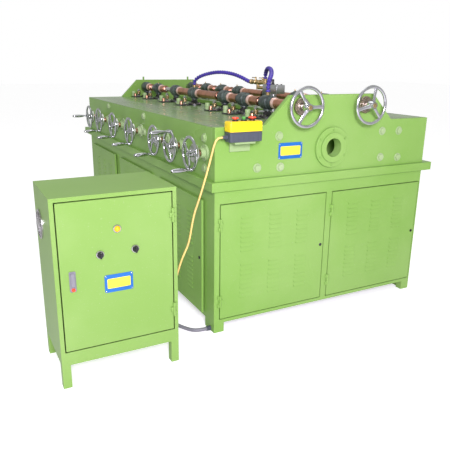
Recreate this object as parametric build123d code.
from build123d import *
from math import radians, tan
import os

# Roller straightening machine. Millimetres, X right along the front, Y towards the rear, Z up.
# Everything is laid out from the front left corner of the base, then moved so that
# the origin is the middle of the footprint on the floor.

# Base cabinet
BASE_W = 1300.0
BASE_L = 2270.0
BASE_H = 720.0
FRAME_T = 40.0
FOOT_H = 50.0
FOOT_W = 55.0
FOOT_L = 101.0
BASE_FLOOR_T = 6.0

# Doors of the base
DOOR_GAP = 5.0
DOOR_RIM = 16.0
DOOR_SHEET = 4.0
FRONT_DOOR_COUNT = 2
FRONT_DOOR_X = 33.0
FRONT_DOOR_END = 11.0
FRONT_DOOR_SPACE = 44.0
FRONT_DOOR_Z = 72.0
FRONT_DOOR_HEAD = 68.0
SIDE_DOOR_COUNT = 3
SIDE_DOOR_Y = 109.0
SIDE_DOOR_Z = 69.0
SIDE_DOOR_HEAD = 63.0
SIDE_DOOR_SPACE = 123.0
SIDE_DOOR_PROUD = 11.0
SIDE_DOOR_LAP = 15.0
KNUCKLE_R = 6.0
KNUCKLE_OFF = 1.0
LEAF_T = 4.0
KNUCKLE_L = 20.0
PIN_R = 3.0
PIN_CLEAR = 0.3
HINGE_INSET = 95.0

# Louvres pressed into the doors
LOUVRE_L = 66.0
LOUVRE_H = 12.0
LOUVRE_OUT = 5.0
LOUVRE_PITCH = 24.0
LOUVRE_ROWS = 8
LOUVRE_LOW_Z = 95.0
LOUVRE_HEAD = 53.0
LOUVRE_COLUMNS = 3
LOUVRE_COLUMN_SPACE = 161.0

# Coolant tray
TRAY_T = 44.0
TRAY_OVER_LEFT = 21.0
TRAY_OVER_FRONT = 16.0
TRAY_OVER_RIGHT = 56.0
TRAY_OVER_REAR = 116.0
TRAY_SUMP = 30.0
TRAY_RIM = 75.0

# Bed
BED_H = 247.0
PLATE_T = 30.0
PLATE_RISE = 133.0
SHOULDER = 264.0
BEAM_WALL = 30.0
DECK_T = 25.0
PLATE_PIN_RIGHT = 447.0
PLATE_PIN_R = 7.0
PLATE_PIN_H = 24.0
DECK_W = 560.0
INNER_WALL_X = 300.0

# Pass line
PASS_H = 123.0
ENTRY_BORE_R = 46.0
ENTRY_FLANGE_R = 100.0
ENTRY_FLANGE_T = 14.0
ENTRY_STEP_R = 74.0
ENTRY_STEP_T = 12.0

# Rolls and their holders
ROLL_R = 42.0
ROLL_H = 76.0
ROLL_WAIST = 8.0
ROLL_NIP = 10.0
ROLL_PIN_R = 12.0
HOLDER_W = 90.0
HOLDER_BACK = 140.0
HOLDER_FRONT = 50.0
LUG_T = 22.0
ROLL_END_CLEAR = 1.0
ROLL_BED_T = 56.0

# Side handwheels, from the rear to the front
SIDE_WHEEL_Y = [1967.0, 1693.0, 1347.0, 998.0, 577.0, 347.0, 96.0]
SIDE_CRANK_ANGLE = [0.0, -90.0, -95.0, -90.0, -85.0, 105.0, -115.0]
SIDE_WHEEL_R = 82.0
SIDE_WHEEL_OUT = 80.0
SIDE_RIM_R = 7.0
SIDE_HUB_R = 17.0
SIDE_SHAFT_R = 10.0
DIAL_R = 45.0
DIAL_T = 14.0
DIAL_BACK = 14.0
SIDE_BOSS_R = 24.0
SIDE_BOSS_T = 30.0
SIDE_BOSS_FLANGE_R = 38.0
SIDE_BOSS_FLANGE_T = 10.0
CRANK_L = 100.0
CRANK_NECK_R = 5.0
CRANK_R = 11.0
SHAFT_CLEAR = 0.3
SHAFT_IN_HOLDER = 40.0

# Front handwheels and the line shafts that they turn
ROW_FROM_DECK_EDGE = 105.0
ROW_ABOVE_DECK = 80.0
FRONT_WHEEL_R = 98.0
FRONT_WHEEL_OUT = 52.0
FRONT_RIM_R = 8.0
FRONT_HUB_R = 20.0
FRONT_BOSS_R = 42.0
FRONT_BOSS_T = 22.0
FRONT_SPOKE_ANGLE = [0.0, 75.0]
LINE_SHAFT_R = 16.0
SPOKES = 3
SPOKE_WIDE = 6.5
SPOKE_FLAT = 4.0
GRIP_BOSS_WIDE = 10.0
GRIP_BOSS_THIN = 9.0

# Gear heads on the line shafts, from the rear to the front
LEFT_HEAD_Y = [2180.0, 1905.0, 1550.0, 1230.0, 785.0, 550.0, 300.0]
RIGHT_HEAD_Y = [2130.0, 1850.0, 1580.0, 1320.0, 905.0, 590.0, 330.0]
LEFT_SLEEVE_L = [70.0, 95.0, 200.0, 300.0, 110.0, 110.0, 130.0]
RIGHT_SLEEVE_L = [110.0, 90.0, 90.0, 280.0, 190.0, 110.0, 110.0]
HEAD_R = 38.0
HEAD_L = 110.0
HEAD_NECK_R = 22.0
SLEEVE_R = 25.0
POST_R = 14.0
POST_FLANGE_R = 46.0
POST_FLANGE_T = 12.0
POST_NUT_R = 24.0
POST_NUT_T = 20.0

# Fittings on the deck beside each gear head, measured from the row towards the outside
FITTING_BASE_W = 68.0
FITTING_BASE_L = 76.0
FITTING_BASE_T = 8.0
FITTING_BASE_IN = 54.0
CAP_R = 14.0
CAP_H = 38.0
STUD_R = 6.0
STUD_H = 58.0
STUD_NUT_R = 12.0
STUD_NUT_T = 10.0
BUSH_R = 11.0
BUSH_H = 22.0

# Coolant manifold, valve tee and hoses
BRIDGE_Y = 515.0
BRIDGE_L = 80.0
BRIDGE_T = 12.0
BRIDGE_LAP = 30.0
MANIFOLD_H = 110.0
MANIFOLD_L = 152.0
MANIFOLD_W = 56.0
MANIFOLD_BLOCK_H = 48.0
MANIFOLD_POST_R = 20.0
VENT_R = 8.0
VENT_H = 30.0
VENT_FROM_MIDDLE = 9.0
TEE_R = 15.0
TEE_Y0 = 648.0
TEE_Y1 = 812.0
TEE_RISE = 32.0
TEE_NECK_R = 10.0
ELBOW_UP = 22.0
LEVER_STEM_Y = [678.0, 758.0]
LEVER_STEM_R = 5.0
LEVER_UP = 12.0
LEVER_L = 40.0
LEVER_W = 11.0
LEVER_T = 5.0
FITTING_R = 9.0
FITTING_H = 14.0
HOSE_R = 12.0
SEAT = 0.3

# Pendant button box
PENDANT_X = 40.0
PENDANT_L = 165.0
PENDANT_D = 60.0
PENDANT_Z = 950.0
PENDANT_BASE_H = 45.0
PENDANT_COVER_H = 46.0
PENDANT_EDGE = 6.0
BRACKET_T = 10.0
BRACKET_DROP = 50.0
BRACKET_SHORTER = 30.0
CABLE_R = 4.5
GLAND_R = 9.0
GLAND_L = 22.0

# Control cabinet
CAB_X = -759.0
CAB_Y = -154.0
CAB_W = 508.0
CAB_D = 349.0
CAB_TOP = 801.0
CAB_UNDER = 103.0
CAB_LEG = 35.0
CAB_SHEET = 4.0
CAB_DOOR_SIDE = 22.0
CAB_DOOR_Z0 = 165.0
CAB_DOOR_Z1 = 780.0
CAB_DOOR_T = 16.0
LATCH_X = 54.0
LATCH_Z = 420.0
LATCH_W = 26.0
LATCH_H = 85.0
LATCH_T = 14.0
FAN_R = 62.0
FAN_T = 12.0
FAN_BACK = 233.0
FAN_Z = 640.0
CONDUIT_R = 9.0

# Worked out from the sizes above
FRONT_DOOR_W = (BASE_W - FRONT_DOOR_X - FRONT_DOOR_END - FRONT_DOOR_SPACE) / FRONT_DOOR_COUNT
FRONT_DOOR_H = BASE_H - FRONT_DOOR_Z - FRONT_DOOR_HEAD
SIDE_DOOR_W = (BASE_L - 2 * SIDE_DOOR_Y - (SIDE_DOOR_COUNT - 1) * SIDE_DOOR_SPACE) / SIDE_DOOR_COUNT
SIDE_DOOR_H = BASE_H - SIDE_DOOR_Z - SIDE_DOOR_HEAD
LOUVRE_HIGH_Z = FRONT_DOOR_H - LOUVRE_HEAD - LOUVRE_ROWS * LOUVRE_PITCH
ROW_INSET = DECK_W - ROW_FROM_DECK_EDGE
TRAY_Z = BASE_H
BED_Z = TRAY_Z + TRAY_T
DECK_Z = BED_Z + BED_H
PLATE_Z = DECK_Z + PLATE_RISE
PASS_Z = BED_Z + PASS_H
PASS_X = BASE_W / 2
ROW_Z = DECK_Z + ROW_ABOVE_DECK
ROW_X = {"left": ROW_INSET, "right": BASE_W - ROW_INSET}
ROLL_X = {"left": PASS_X - ROLL_NIP / 2 - ROLL_R, "right": PASS_X + ROLL_NIP / 2 + ROLL_R}
MANIFOLD_Z = DECK_Z + MANIFOLD_H


def block(x0, x1, y0, y1, z0, z1):
    """A box between two corners."""
    return Pos((x0 + x1) / 2, (y0 + y1) / 2, (z0 + z1) / 2) * Box(x1 - x0, y1 - y0, z1 - z0)


def rod(axis, start, length, radius):
    """A cylinder that starts at a point and runs along an axis."""
    turn = {"x": Rot(0, 90, 0), "y": Rot(-90, 0, 0), "z": Rot(0, 0, 0)}[axis]
    return Pos(*start) * turn * Pos(0, 0, length / 2) * Cylinder(radius, length)


def ring(axis, start, length, outer, inner):
    """A tube that starts at a point and runs along an axis."""
    return rod(axis, start, length, outer) - rod(axis, start, length, inner)


def louvres(width):
    """Two rows of louvre banks on a door's face, as solids that stand out towards -Y."""
    wedge = Polyline((0, 0), (-LOUVRE_OUT, 0), (0, LOUVRE_H), close=True)
    hood = Pos(-LOUVRE_L / 2, 0, 0) * extrude(Plane.YZ * make_face(wedge), LOUVRE_L)
    hoods = []
    for column in range(LOUVRE_COLUMNS):
        x = width / 2 + (column - (LOUVRE_COLUMNS - 1) / 2) * LOUVRE_COLUMN_SPACE
        for low in (LOUVRE_LOW_Z, LOUVRE_HIGH_Z):
            for row in range(LOUVRE_ROWS):
                hoods.append(Pos(x, 0, low + row * LOUVRE_PITCH) * hood)
    return hoods


def hinge_heights(height):
    """Middle heights of a door's two hinges."""
    return (HINGE_INSET, height - HINGE_INSET)


def door(width, height, rim, leaf_y0, leaf_y1, axis_x, axis_y):
    """A pan door, face at y 0, with its hinge knuckles on the left, seen from outside."""
    pan = block(0, width, 0, rim, 0, height)
    pan -= block(DOOR_RIM, width - DOOR_RIM, DOOR_SHEET, rim, DOOR_RIM, height - DOOR_RIM)
    pan += louvres(width)
    for z in hinge_heights(height):
        start = z - KNUCKLE_L / 2
        pan += block(axis_x, 2 * KNUCKLE_R, leaf_y0, leaf_y1, start, start + KNUCKLE_L)
        pan += rod("z", (axis_x, axis_y, start), KNUCKLE_L, KNUCKLE_R)
        pan -= rod("z", (axis_x, axis_y, start), KNUCKLE_L, PIN_R + PIN_CLEAR)
    return pan


def hinge_posts(height, axis_x, axis_y, face_y):
    """The frame's share of a door's two hinges: a pin with a knuckle above and below."""
    made = []
    for z in hinge_heights(height):
        low = z - KNUCKLE_L / 2 - PIN_CLEAR - KNUCKLE_L
        high = z + KNUCKLE_L / 2 + PIN_CLEAR
        item = rod("z", (axis_x, axis_y, low), high + KNUCKLE_L - low, PIN_R)
        for start in (low, high):
            item += rod("z", (axis_x, axis_y, start), KNUCKLE_L, KNUCKLE_R)
            item += block(axis_x - 2 * KNUCKLE_R, axis_x, axis_y, face_y, start, start + KNUCKLE_L)
        made.append(item)
    return made


def side_place(y, z):
    """Places a piece drawn for the front onto the left side, its left end at the rear."""
    return Pos(0, y, z) * Rot(0, 0, -90)


FLUSH_AXIS = (-DOOR_GAP / 2, -KNUCKLE_R - KNUCKLE_OFF)
PROUD_AXIS_X = -KNUCKLE_R - KNUCKLE_OFF
SIDE_FACE = -DOOR_GAP - SIDE_DOOR_PROUD
FRONT_DOORS = {"front_door_left": 0, "front_door_right": 1}
SIDE_DOORS = {"side_door_front": 0, "side_door_middle": 1, "side_door_rear": 2}


def front_door_x(index):
    return FRONT_DOOR_X + index * (FRONT_DOOR_W + FRONT_DOOR_SPACE)


def side_door_rear_y(index):
    return SIDE_DOOR_Y + SIDE_DOOR_W + index * (SIDE_DOOR_W + SIDE_DOOR_SPACE)


# Base
def base_front():
    wall = block(0, BASE_W, 0, FRAME_T, 0, BASE_H)
    wall -= block(FOOT_W, BASE_W - FOOT_W, 0, FRAME_T, 0, FOOT_H)
    for index in FRONT_DOORS.values():
        x = front_door_x(index)
        z1 = FRONT_DOOR_Z + FRONT_DOOR_H
        wall -= block(x - DOOR_GAP, x + FRONT_DOOR_W + DOOR_GAP, 0, FRAME_T,
                      FRONT_DOOR_Z - DOOR_GAP, z1 + DOOR_GAP)
        for item in hinge_posts(FRONT_DOOR_H, *FLUSH_AXIS, 0):
            wall += Pos(x, 0, FRONT_DOOR_Z) * item
    return wall


def base_left():
    wall = block(0, FRAME_T, FRAME_T, BASE_L - FRAME_T, 0, BASE_H)
    wall -= block(0, FRAME_T, FOOT_L, BASE_L - FOOT_L, 0, FOOT_H)
    lap = SIDE_DOOR_LAP
    for index in SIDE_DOORS.values():
        y = side_door_rear_y(index)
        wall -= block(0, FRAME_T, y - SIDE_DOOR_W + lap, y - lap,
                      SIDE_DOOR_Z + lap, SIDE_DOOR_Z + SIDE_DOOR_H - lap)
        for item in hinge_posts(SIDE_DOOR_H, PROUD_AXIS_X, SIDE_FACE + KNUCKLE_R, 0):
            wall += side_place(y, SIDE_DOOR_Z) * item
    return wall


def cover_panels(count, width, space, first):
    """Fixed covers for a side without doors, drawn for the front."""
    made = []
    for index in range(count):
        x = first + index * (width + space)
        cover = block(x, x + width, -SIDE_DOOR_PROUD, 0, SIDE_DOOR_Z, SIDE_DOOR_Z + SIDE_DOOR_H)
        cover += [Pos(x, -SIDE_DOOR_PROUD, SIDE_DOOR_Z) * item for item in louvres(width)]
        made.append(cover)
    return made


def base_right():
    wall = block(BASE_W - FRAME_T, BASE_W, FRAME_T, BASE_L - FRAME_T, 0, BASE_H)
    wall -= block(BASE_W - FRAME_T, BASE_W, FOOT_L, BASE_L - FOOT_L, 0, FOOT_H)
    for cover in cover_panels(SIDE_DOOR_COUNT, SIDE_DOOR_W, SIDE_DOOR_SPACE, SIDE_DOOR_Y):
        wall += Pos(BASE_W, 0, 0) * Rot(0, 0, 90) * cover
    return wall


def base_rear():
    wall = block(0, BASE_W, BASE_L - FRAME_T, BASE_L, 0, BASE_H)
    wall -= block(FOOT_W, BASE_W - FOOT_W, BASE_L - FRAME_T, BASE_L, 0, FOOT_H)
    first = (FRONT_DOOR_X + FRONT_DOOR_END) / 2
    for cover in cover_panels(FRONT_DOOR_COUNT, FRONT_DOOR_W, FRONT_DOOR_SPACE, first):
        wall += Pos(BASE_W, BASE_L, 0) * Rot(0, 0, 180) * cover
    return wall


def base_floor():
    return block(FRAME_T, BASE_W - FRAME_T, FRAME_T, BASE_L - FRAME_T,
                 FOOT_H, FOOT_H + BASE_FLOOR_T)


def tray():
    slab = block(-TRAY_OVER_LEFT, BASE_W + TRAY_OVER_RIGHT, -TRAY_OVER_FRONT,
                 BASE_L + TRAY_OVER_REAR, TRAY_Z, BED_Z)
    sump = block(TRAY_RIM, BASE_W - TRAY_RIM, TRAY_RIM, BASE_L - TRAY_RIM,
                 BED_Z - TRAY_SUMP, BED_Z)
    return slab - sump


# Bed
def beam(side):
    """One side of the bed: outer wall, deck and inner wall, open below."""
    made = block(0, BEAM_WALL, PLATE_T, BASE_L - PLATE_T, BED_Z, DECK_Z)
    made += block(BEAM_WALL, DECK_W, PLATE_T, BASE_L - PLATE_T, DECK_Z - DECK_T, DECK_Z)
    made += block(INNER_WALL_X, INNER_WALL_X + BEAM_WALL, PLATE_T, BASE_L - PLATE_T,
                  BED_Z, DECK_Z - DECK_T)
    if side == "left":
        for y in SIDE_WHEEL_Y:
            made -= rod("x", (0, y, PASS_Z), INNER_WALL_X + BEAM_WALL, SIDE_SHAFT_R + SHAFT_CLEAR)
        return made
    return Pos(BASE_W, 0, 0) * mirror(made, Plane.YZ)


def end_plate(y0):
    """A plate with sloped shoulders that closes one end of the bed."""
    outline = Polyline((0, BED_Z), (BASE_W, BED_Z), (BASE_W, DECK_Z), (BASE_W - SHOULDER, DECK_Z),
                       (BASE_W - SHOULDER - PLATE_RISE, PLATE_Z), (SHOULDER + PLATE_RISE, PLATE_Z),
                       (SHOULDER, DECK_Z), (0, DECK_Z), close=True)
    plate = Pos(0, y0 + PLATE_T, 0) * extrude(Plane.XZ * make_face(outline), PLATE_T)
    plate -= rod("y", (PASS_X, y0, PASS_Z), PLATE_T, ENTRY_BORE_R)
    for x in ROW_X.values():
        plate -= rod("y", (x, y0, ROW_Z), PLATE_T, LINE_SHAFT_R + SHAFT_CLEAR)
    return plate


def rear_plate():
    """The rear end plate with two pins on its top edge."""
    plate = end_plate(BASE_L - PLATE_T)
    for x in (ROW_INSET, BASE_W - PLATE_PIN_RIGHT):
        plate += rod("z", (x, BASE_L - PLATE_T / 2, PLATE_Z - PLATE_PIN_R), PLATE_PIN_H + PLATE_PIN_R, PLATE_PIN_R)
    return plate


def bore_flange():
    """A stepped ring, its back face at y 0 and its steps towards -Y."""
    made = ring("y", (0, -ENTRY_FLANGE_T, 0), ENTRY_FLANGE_T, ENTRY_FLANGE_R, ENTRY_BORE_R)
    made += ring("y", (0, -ENTRY_FLANGE_T - ENTRY_STEP_T, 0), ENTRY_STEP_T,
                 ENTRY_STEP_R, ENTRY_BORE_R)
    return made


def roll_bed():
    return block(INNER_WALL_X + BEAM_WALL, BASE_W - INNER_WALL_X - BEAM_WALL,
                 PLATE_T, BASE_L - PLATE_T, BED_Z, BED_Z + ROLL_BED_T)


# Rolls
def roll():
    """A waisted roll about Z, its middle at the origin."""
    waist = ThreePointArc((ROLL_R + 1, -ROLL_H / 3), (ROLL_R - ROLL_WAIST, 0), (ROLL_R + 1, ROLL_H / 3))
    close = Line(waist @ 1, waist @ 0)
    body = Cylinder(ROLL_R, ROLL_H)
    body -= revolve(Plane.XZ * make_face([waist, close]), Axis.Z)
    return body - Cylinder(ROLL_PIN_R + SHAFT_CLEAR, ROLL_H)


def holder(back):
    """A fork for a roll at the origin, drawn for the left row, its back face at x -back."""
    half = ROLL_H / 2 + ROLL_END_CLEAR
    low = BED_Z + ROLL_BED_T - PASS_Z
    made = block(-back, -HOLDER_FRONT, -HOLDER_W / 2, HOLDER_W / 2, low, half + LUG_T)
    for z0, z1 in ((low, -half), (half, half + LUG_T)):
        made += block(-HOLDER_FRONT, 0, -HOLDER_W / 4, HOLDER_W / 4, z0, z1)
        made += rod("z", (0, 0, z0), z1 - z0, HOLDER_W / 4)
    made += rod("z", (0, 0, -half), 2 * half, ROLL_PIN_R)
    return made


def left_holders():
    made = []
    for y in SIDE_WHEEL_Y:
        item = Pos(ROLL_X["left"], y, PASS_Z) * holder(HOLDER_BACK)
        start = ROLL_X["left"] - HOLDER_BACK
        item -= rod("x", (start, y, PASS_Z), SHAFT_IN_HOLDER + SHAFT_CLEAR, SIDE_SHAFT_R + SHAFT_CLEAR)
        made.append(item)
    return made


def right_roll_y():
    return [(a + b) / 2 for a, b in zip(SIDE_WHEEL_Y, SIDE_WHEEL_Y[1:])]


def right_holders():
    back = BASE_W - INNER_WALL_X - BEAM_WALL - ROLL_X["right"]
    item = mirror(holder(back), Plane.YZ)
    return [Pos(ROLL_X["right"], y, PASS_Z) * item for y in right_roll_y()]


# Handwheels
def wheel(radius, rim_r, hub_r, hub_back, hub_front, first_angle):
    """A spoked wheel about Z, its rim at z 0 and its front towards +Z."""
    made = rod("z", (0, 0, -hub_back), hub_back + hub_front, hub_r)
    spoke = extrude(Plane.YZ * Ellipse(SPOKE_WIDE, SPOKE_FLAT), radius - rim_r)
    for index in range(SPOKES):
        made += Rot(0, 0, first_angle + index * 360 / SPOKES) * spoke
    return made + Torus(radius - rim_r, rim_r)


def crank():
    """A turned handle along Z that starts at the rim."""
    neck = CRANK_L * 0.2
    side = Spline((CRANK_NECK_R, neck), (CRANK_R, CRANK_L * 0.75), (CRANK_R * 0.6, CRANK_L - 2))
    outline = [Line((0, 0), (CRANK_NECK_R, 0)), Line((CRANK_NECK_R, 0), (CRANK_NECK_R, neck)), side,
               Line(side @ 1, (0, CRANK_L)), Line((0, CRANK_L), (0, 0))]
    return revolve(Plane.XZ * make_face(outline), Axis.Z)


def side_handwheel(index):
    """A crank wheel with its dial and its long shaft, which turn together."""
    angle = SIDE_CRANK_ANGLE[index]
    made = wheel(SIDE_WHEEL_R, SIDE_RIM_R, SIDE_HUB_R, DIAL_BACK, SIDE_HUB_R, 90)
    made += rod("z", (0, 0, -DIAL_BACK - DIAL_T), DIAL_T, DIAL_R)
    end = ROLL_X["left"] - HOLDER_BACK + SHAFT_IN_HOLDER
    made += rod("z", (0, 0, -SIDE_WHEEL_OUT - end), SIDE_WHEEL_OUT + end, SIDE_SHAFT_R)
    grip = SIDE_WHEEL_R - SIDE_RIM_R
    boss = extrude(Ellipse(GRIP_BOSS_WIDE, GRIP_BOSS_THIN), SIDE_RIM_R + 2, both=True)
    made += Pos(grip, 0, 0) * (boss + Pos(0, 0, SIDE_RIM_R + 2) * crank())
    # Local X is at 0 degrees, which points to the rear once the wheel faces left.
    made = Rot(0, 0, -angle) * made
    place = Plane(origin=(-SIDE_WHEEL_OUT, SIDE_WHEEL_Y[index], PASS_Z), x_dir=(0, 1, 0), z_dir=(-1, 0, 0))
    return place * made


def front_handwheel(side):
    made = wheel(FRONT_WHEEL_R, FRONT_RIM_R, FRONT_HUB_R, FRONT_HUB_R, FRONT_HUB_R,
                 FRONT_SPOKE_ANGLE[0] if side == "left" else FRONT_SPOKE_ANGLE[1])
    made -= rod("z", (0, 0, -FRONT_HUB_R), 2 * FRONT_HUB_R, LINE_SHAFT_R)
    place = Plane(origin=(ROW_X[side], -FRONT_WHEEL_OUT, ROW_Z), x_dir=(1, 0, 0), z_dir=(0, -1, 0))
    return place * made


def line_shaft(side):
    start = -FRONT_WHEEL_OUT - FRONT_HUB_R - 6
    return rod("y", (ROW_X[side], start, ROW_Z), BASE_L - start, LINE_SHAFT_R)


def side_bosses():
    made = []
    for y in SIDE_WHEEL_Y:
        item = rod("x", (-SIDE_BOSS_T, y, PASS_Z), SIDE_BOSS_T, SIDE_BOSS_R)
        item += rod("x", (-SIDE_BOSS_FLANGE_T, y, PASS_Z), SIDE_BOSS_FLANGE_T, SIDE_BOSS_FLANGE_R)
        item -= rod("x", (-SIDE_BOSS_T, y, PASS_Z), SIDE_BOSS_T, SIDE_SHAFT_R + SHAFT_CLEAR)
        made.append(item)
    return made


def front_bosses():
    return [ring("y", (x, -FRONT_BOSS_T, ROW_Z), FRONT_BOSS_T, FRONT_BOSS_R, LINE_SHAFT_R + SHAFT_CLEAR)
            for x in ROW_X.values()]


# Gear heads, posts and sleeves on the deck
def heads(side):
    made = []
    for y in head_y(side):
        x = ROW_X[side]
        item = rod("y", (x, y - HEAD_L / 2, ROW_Z), HEAD_L, HEAD_R * 0.8)
        item += rod("y", (x, y - HEAD_L / 4, ROW_Z), HEAD_L / 2, HEAD_R)
        item += rod("z", (x, y, ROW_Z - HEAD_R - 4), HEAD_R, HEAD_NECK_R)
        item -= rod("y", (x, y - HEAD_L / 2, ROW_Z), HEAD_L, LINE_SHAFT_R + SHAFT_CLEAR)
        made.append(item)
    return made


def head_y(side):
    """Where the heads of a row stand; a shorter bed has fewer."""
    row = LEFT_HEAD_Y if side == "left" else RIGHT_HEAD_Y
    return [y for y in row if y + HEAD_L / 2 < BASE_L - PLATE_T]


def posts(side):
    made = []
    for y in head_y(side):
        x = ROW_X[side]
        item = rod("z", (x, y, DECK_Z), ROW_ABOVE_DECK - HEAD_R - 4, POST_R)
        item += rod("z", (x, y, DECK_Z), POST_FLANGE_T, POST_FLANGE_R)
        nut = extrude(RegularPolygon(POST_NUT_R, 6), POST_NUT_T)
        item += Pos(x, y, DECK_Z + POST_FLANGE_T) * nut
        made.append(item)
    return made


def deck_fitting():
    """A small base with a capped spring, a stud with its nut and a bush, drawn for the left row."""
    half_w = FITTING_BASE_W / 2
    half_l = FITTING_BASE_L / 2
    made = block(-half_w, half_w, -half_l, half_l, 0, FITTING_BASE_T)
    made += rod("z", (-half_w + CAP_R + 2, half_l - CAP_R - 2, 0), FITTING_BASE_T + CAP_H, CAP_R)
    stud = (half_w - STUD_NUT_R - 4, 0)
    made += rod("z", (*stud, 0), FITTING_BASE_T + STUD_H, STUD_R)
    nut = extrude(RegularPolygon(STUD_NUT_R, 6), STUD_NUT_T)
    made += Pos(*stud, FITTING_BASE_T) * nut
    made += Pos(*stud, FITTING_BASE_T + STUD_H - 2 * STUD_NUT_T) * nut
    made += rod("z", (-half_w + BUSH_R + 4, -half_l + BUSH_R + 2, 0), FITTING_BASE_T + BUSH_H, BUSH_R)
    return made


def deck_fittings():
    item = deck_fitting()
    middle = FITTING_BASE_IN + FITTING_BASE_W / 2
    made = [Pos(ROW_X["left"] - middle, y, DECK_Z) * item for y in head_y("left")]
    turned = Rot(0, 0, 180) * item
    return made + [Pos(ROW_X["right"] + middle, y, DECK_Z) * turned for y in head_y("right")]


def sleeves(side):
    lengths = LEFT_SLEEVE_L if side == "left" else RIGHT_SLEEVE_L
    made = []
    row = head_y(side)
    for y, length in zip(row, lengths[-len(row):]):
        rear = y - HEAD_L / 2 - DOOR_GAP
        made.append(ring("y", (ROW_X[side], rear - length, ROW_Z), length, SLEEVE_R, LINE_SHAFT_R))
    return made


# Coolant
def manifold():
    y = BRIDGE_Y + BRIDGE_L / 2
    made = block(DECK_W - BRIDGE_LAP, BASE_W - DECK_W + BRIDGE_LAP, BRIDGE_Y, BRIDGE_Y + BRIDGE_L,
                 DECK_Z, DECK_Z + BRIDGE_T)
    made += rod("z", (PASS_X, y, DECK_Z), MANIFOLD_H, MANIFOLD_POST_R)
    made += block(PASS_X - MANIFOLD_W / 2, PASS_X + MANIFOLD_W / 2, y - MANIFOLD_L / 2, y + MANIFOLD_L / 2,
                  MANIFOLD_Z, MANIFOLD_Z + MANIFOLD_BLOCK_H)
    made += rod("z", (PASS_X, y + VENT_FROM_MIDDLE, MANIFOLD_Z), MANIFOLD_BLOCK_H + VENT_H, VENT_R)
    return made


TEE_Z = MANIFOLD_Z + MANIFOLD_BLOCK_H / 2 + TEE_RISE
FITTING_TOP = ROW_Z + HEAD_R + FITTING_H


def tee():
    """The valve tee: a pipe along Y on a stem, its front end turned up."""
    y = BRIDGE_Y + BRIDGE_L / 2 + MANIFOLD_L / 2
    z = MANIFOLD_Z + MANIFOLD_BLOCK_H / 2
    stem_y = (TEE_Y0 + TEE_Y1) / 2
    made = rod("y", (PASS_X, y, z), stem_y - y, TEE_NECK_R)
    made += rod("z", (PASS_X, stem_y, z - TEE_NECK_R), TEE_Z - z, TEE_NECK_R)
    made += rod("y", (PASS_X, TEE_Y0, TEE_Z), TEE_Y1 - TEE_Y0, TEE_R)
    made += rod("z", (PASS_X, TEE_Y0, TEE_Z - TEE_R), TEE_R + ELBOW_UP, TEE_R)
    return made


def valve_levers():
    """Two quarter-turn levers that lie along the tee."""
    made = []
    for y in LEVER_STEM_Y:
        top = TEE_Z + TEE_R + LEVER_UP
        item = rod("z", (PASS_X, y, TEE_Z), top - TEE_Z, LEVER_STEM_R)
        item -= rod("y", (PASS_X, TEE_Y0, TEE_Z), TEE_Y1 - TEE_Y0, TEE_R)
        item += block(PASS_X - LEVER_W / 2, PASS_X + LEVER_W / 2, y - LEVER_W / 2, y + LEVER_L,
                      top - LEVER_T, top)
        made.append(item)
    return made


def over_deck(points):
    """Route points with their heights measured from the deck."""
    return [(x, y, DECK_Z + z) for x, y, z in points]


REAR_FED_Y = LEFT_HEAD_Y[3]
FRONT_FED_Y = LEFT_HEAD_Y[6]
REAR_HOSE = [(PASS_X, TEE_Y1 + SEAT, TEE_Z), (PASS_X, 846, TEE_Z)]
REAR_HOSE += over_deck([(638, 884, 183), (604, 960, 209), (560, 1060, 219), (515, 1140, 207),
                        (475, 1200, 185), (ROW_INSET, REAR_FED_Y, 157)])
REAR_HOSE += [(ROW_INSET, REAR_FED_Y, FITTING_TOP + SEAT)]
FRONT_HOSE = [(PASS_X, TEE_Y0, TEE_Z + ELBOW_UP + SEAT)]
FRONT_HOSE += over_deck([(PASS_X, TEE_Y0, 215), (632, 606, 239), (604, 545, 249), (564, 450, 243),
                         (518, 370, 221), (474, 320, 193), (ROW_INSET, FRONT_FED_Y, 161)])
FRONT_HOSE += [(ROW_INSET, FRONT_FED_Y, FITTING_TOP + SEAT)]


def hose_fittings():
    """Brass nozzles on the two gear heads that the hoses feed."""
    made = []
    for y in (REAR_FED_Y, FRONT_FED_Y):
        item = rod("z", (ROW_INSET, y, ROW_Z), HEAD_R + FITTING_H, FITTING_R)
        made.append(item - rod("y", (ROW_INSET, y - HEAD_L / 4, ROW_Z), HEAD_L / 2, HEAD_R))
    return made


def corner_radii(points, most=400.0):
    """The largest tangent arc at each corner that its two runs allow."""
    radii = []
    for a, b, c in zip(points, points[1:], points[2:]):
        before = Vector(*b) - Vector(*a)
        after = Vector(*c) - Vector(*b)
        turn = radians(before.get_angle(after))
        radii.append(min(most, 0.45 * min(before.length, after.length) / tan(turn / 2)))
    return radii


def tube(points, radius):
    radii = corner_radii(points)
    path = FilletPolyline(*points, radius=radii)
    start = Vector(*points[0])
    profile = Plane(origin=start, z_dir=Vector(*points[1]) - start) * Circle(radius)
    return sweep(profile, path=path)


# Pendant button box
def pendant_bracket():
    z = PENDANT_Z
    x0 = PENDANT_X + BRACKET_SHORTER
    x1 = PENDANT_X + PENDANT_L - BRACKET_SHORTER
    made = block(x0, x1, -PENDANT_D, 0, z - BRACKET_T, z)
    return made + block(x0, x1, -BRACKET_T, 0, z - BRACKET_DROP, z)


def pendant_base():
    return block(PENDANT_X, PENDANT_X + PENDANT_L, -PENDANT_D - 10, -10,
                 PENDANT_Z, PENDANT_Z + PENDANT_BASE_H)


def pendant_cover():
    z = PENDANT_Z + PENDANT_BASE_H
    box = block(PENDANT_X, PENDANT_X + PENDANT_L, -PENDANT_D - 10, -10, z, z + PENDANT_COVER_H)
    return fillet(box.edges().filter_by(Axis.Z) + box.edges().group_by(Axis.Z)[-1], PENDANT_EDGE)


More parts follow.
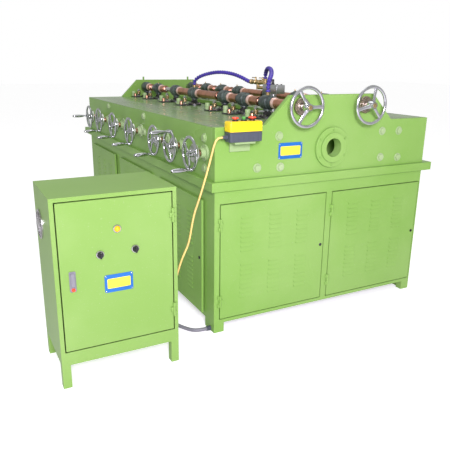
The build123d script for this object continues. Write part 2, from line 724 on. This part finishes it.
PENDANT_TOP = PENDANT_Z + PENDANT_BASE_H + PENDANT_COVER_H
BUTTONS = [(0.24, 16.0), (0.5, 9.0), (0.76, 19.0)]


def pendant_buttons():
    made = []
    for share, radius in BUTTONS:
        x = PENDANT_X + share * PENDANT_L
        y = -10 - PENDANT_D / 2
        item = rod("z", (x, y, PENDANT_TOP), 10, 8)
        item += rod("z", (x, y, PENDANT_TOP + 10), 9, radius)
        made.append(item)
    return made


GLAND_Y = -40.0
GLAND_Z = PENDANT_Z + 22.0
CAB_REAR = CAB_Y + CAB_D
CABLE_IN = (-308.0, 219.0)
CONDUIT_IN = (-420.0, 190.0)
CONDUIT_OUT_Y = 40.0
CABLE = [(PENDANT_X - GLAND_L - SEAT, GLAND_Y, GLAND_Z), (0, GLAND_Y, GLAND_Z), (-15, -40, 960), (-24, -39, 937),
         (-36, -37, 889), (-60, -34, 803), (-90, -30, 706), (-114, -28, 642), (-127, -28, 585),
         (-137, -30, 535), (-148, -31, 494), (-168, -30, 455), (-186, -27, 410), (-198, -20, 360),
         (-208, -4, 306), (-215, 40, 262), (-221, 104, 234), (-229, 172, 222), (-236, 220, 219),
         (-240, 256, 218), (-266, 271, 219), (-296, 262, 220), (CABLE_IN[0], 241, CABLE_IN[1]),
         (CABLE_IN[0], CAB_REAR + GLAND_L + SEAT, CABLE_IN[1])]
CONDUIT = [(-GLAND_L - SEAT, CONDUIT_OUT_Y, CONDUIT_R + 4), (-60, CONDUIT_OUT_Y, CONDUIT_R + 4), (-94, 64, 11), (-118, 108, 10),
           (-140, 158, 10), (-172, 216, 10), (-222, 262, 10), (-290, 284, 10), (-344, 296, 28), (-384, 298, 66),
           (-410, 294, 118), (-419, 284, 164), (CONDUIT_IN[0], 256, CONDUIT_IN[1]),
           (CONDUIT_IN[0], CAB_REAR + GLAND_L + SEAT, CONDUIT_IN[1])]


def glands():
    made = [rod("x", (PENDANT_X - GLAND_L, GLAND_Y, GLAND_Z), GLAND_L, GLAND_R)]
    made.append(rod("y", (CABLE_IN[0], CAB_REAR, CABLE_IN[1]), GLAND_L, GLAND_R))
    made.append(rod("x", (-GLAND_L, CONDUIT_OUT_Y, CONDUIT_R + 4), GLAND_L, CONDUIT_R + 4))
    made.append(rod("y", (CONDUIT_IN[0], CAB_REAR, CONDUIT_IN[1]), GLAND_L, CONDUIT_R + 4))
    return made


# Control cabinet
def cabinet_body():
    x1 = CAB_X + CAB_W
    y1 = CAB_Y + CAB_D
    s = CAB_SHEET
    made = block(CAB_X, x1, CAB_Y, y1, CAB_UNDER, CAB_TOP)
    made -= block(CAB_X + s, x1 - s, CAB_Y + s, y1 - s, CAB_UNDER + s, CAB_TOP - s)
    made -= block(CAB_X + CAB_DOOR_SIDE - DOOR_GAP, x1 - CAB_DOOR_SIDE + DOOR_GAP, CAB_Y, CAB_Y + s,
                  CAB_DOOR_Z0 - DOOR_GAP, CAB_DOOR_Z1 + DOOR_GAP)
    for x in (CAB_X, x1 - CAB_LEG):
        for y in (CAB_Y, y1 - CAB_LEG):
            made += block(x, x + CAB_LEG, y, y + CAB_LEG, 0, CAB_UNDER)
    height = CAB_DOOR_Z1 - CAB_DOOR_Z0
    for item in hinge_posts(height, *FLUSH_AXIS, 0):
        made += Pos(x1 - CAB_DOOR_SIDE, CAB_Y, CAB_DOOR_Z0) * mirror(item, Plane.YZ)
    return made


def cabinet_door():
    width = CAB_W - 2 * CAB_DOOR_SIDE
    height = CAB_DOOR_Z1 - CAB_DOOR_Z0
    pan = block(0, width, 0, CAB_DOOR_T, 0, height)
    pan -= block(DOOR_RIM, width - DOOR_RIM, DOOR_SHEET, CAB_DOOR_T, DOOR_RIM, height - DOOR_RIM)
    for z in hinge_heights(height):
        start = z - KNUCKLE_L / 2
        pan += block(FLUSH_AXIS[0], 2 * KNUCKLE_R, FLUSH_AXIS[1], 0, start, start + KNUCKLE_L)
        pan += rod("z", (*FLUSH_AXIS, start), KNUCKLE_L, KNUCKLE_R)
        pan -= rod("z", (*FLUSH_AXIS, start), KNUCKLE_L, PIN_R + PIN_CLEAR)
    return Pos(CAB_X + CAB_W - CAB_DOOR_SIDE, CAB_Y, CAB_DOOR_Z0) * mirror(pan, Plane.YZ)


def cabinet_controls():
    """Pilot lamp and two switches on the cabinet door."""
    made = []
    for x, z, radius, out in ((253, 656, 14, 16), (180, 558, 15, 24), (324, 562, 13, 20)):
        made.append(rod("y", (CAB_X + x, CAB_Y - out, z), out, radius))
    return made


def cabinet_latch():
    x = CAB_X + LATCH_X
    return block(x, x + LATCH_W, CAB_Y - LATCH_T, CAB_Y, LATCH_Z, LATCH_Z + LATCH_H)


def fan_guard():
    y = CAB_Y + FAN_BACK
    return rod("x", (CAB_X - FAN_T, y, FAN_Z), FAN_T, FAN_R)


def build():
    nodes = {
        "base_front_frame": base_front(),
        "base_left_frame": base_left(),
        "base_right_side": base_right(),
        "base_rear_side": base_rear(),
        "base_floor": base_floor(),
        "coolant_tray": tray(),
        "bed_left_beam": beam("left"),
        "bed_right_beam": beam("right"),
        "front_end_plate": end_plate(0),
        "rear_end_plate": rear_plate(),
        "entry_flange": Pos(PASS_X, 0, PASS_Z) * bore_flange(),
        "exit_flange": Pos(PASS_X, BASE_L, PASS_Z) * Rot(0, 0, 180) * bore_flange(),
        "roll_bed": roll_bed(),
        "left_roll_slides": left_holders(),
        "right_roll_brackets": right_holders(),
        "left_rolls": [Pos(ROLL_X["left"], y, PASS_Z) * roll() for y in SIDE_WHEEL_Y],
        "right_rolls": [Pos(ROLL_X["right"], y, PASS_Z) * roll() for y in right_roll_y()],
        "side_shaft_bosses": side_bosses(),
        "front_shaft_bosses": front_bosses(),
        "coolant_manifold": manifold(),
        "coolant_tee": tee(),
        "valve_levers": valve_levers(),
        "hose_fittings": hose_fittings(),
        "deck_fittings": deck_fittings(),
        "coolant_hose_rear": tube(REAR_HOSE, HOSE_R),
        "coolant_hose_front": tube(FRONT_HOSE, HOSE_R),
        "pendant_bracket": pendant_bracket(),
        "pendant_base": pendant_base(),
        "pendant_cover": pendant_cover(),
        "pendant_buttons": pendant_buttons(),
        "pendant_cable": tube(CABLE, CABLE_R),
        "floor_conduit": tube(CONDUIT, CONDUIT_R),
        "cable_glands": glands(),
        "cabinet_body": cabinet_body(),
        "cabinet_door": cabinet_door(),
        "cabinet_controls": cabinet_controls(),
        "cabinet_latch": cabinet_latch(),
        "fan_guard": fan_guard(),
    }
    flush = door(FRONT_DOOR_W, FRONT_DOOR_H, DOOR_RIM, FLUSH_AXIS[1], 0, *FLUSH_AXIS)
    for name, index in FRONT_DOORS.items():
        nodes[name] = Pos(front_door_x(index), 0, FRONT_DOOR_Z) * flush
    proud = door(SIDE_DOOR_W, SIDE_DOOR_H, SIDE_DOOR_PROUD, KNUCKLE_R - LEAF_T / 2, KNUCKLE_R + LEAF_T / 2,
                 PROUD_AXIS_X, KNUCKLE_R)
    for name, index in SIDE_DOORS.items():
        place = side_place(side_door_rear_y(index), SIDE_DOOR_Z)
        nodes[name] = place * Pos(0, SIDE_FACE, 0) * proud
    for index in range(len(SIDE_WHEEL_Y)):
        nodes[f"side_handwheel_{index + 1}"] = side_handwheel(index)
    for side in ROW_X:
        nodes[f"front_handwheel_{side}"] = front_handwheel(side)
        nodes[f"{side}_line_shaft"] = line_shaft(side)
        nodes[f"{side}_gear_heads"] = heads(side)
        nodes[f"{side}_head_posts"] = posts(side)
        nodes[f"{side}_sleeves"] = sleeves(side)
    return nodes


CORDS = ("pendant_cable", "floor_conduit")


def footprint_shift(nodes):
    """Moves the middle of the footprint, measured without the loose cords, to the origin."""
    boxes = [Compound(solids_of(item)).bounding_box() for name, item in nodes.items() if name not in CORDS]
    x = min(b.min.X for b in boxes) + max(b.max.X for b in boxes)
    y = min(b.min.Y for b in boxes) + max(b.max.Y for b in boxes)
    return -x / 2, -y / 2


def solids_of(item):
    items = item if isinstance(item, list) else [item]
    return [solid for piece in items for solid in piece.solids()]


NODES = build()
SHIFT_X, SHIFT_Y = footprint_shift(NODES)

os.makedirs("parts", exist_ok=True)
for name, item in NODES.items():
    export_step(Pos(SHIFT_X, SHIFT_Y, 0) * Compound(solids_of(item)), f"parts/{name}.step")
print("shift", round(SHIFT_X, 3), round(SHIFT_Y, 3))
print("cable radii", [round(r) for r in corner_radii(CABLE)])
print("conduit radii", [round(r) for r in corner_radii(CONDUIT)])
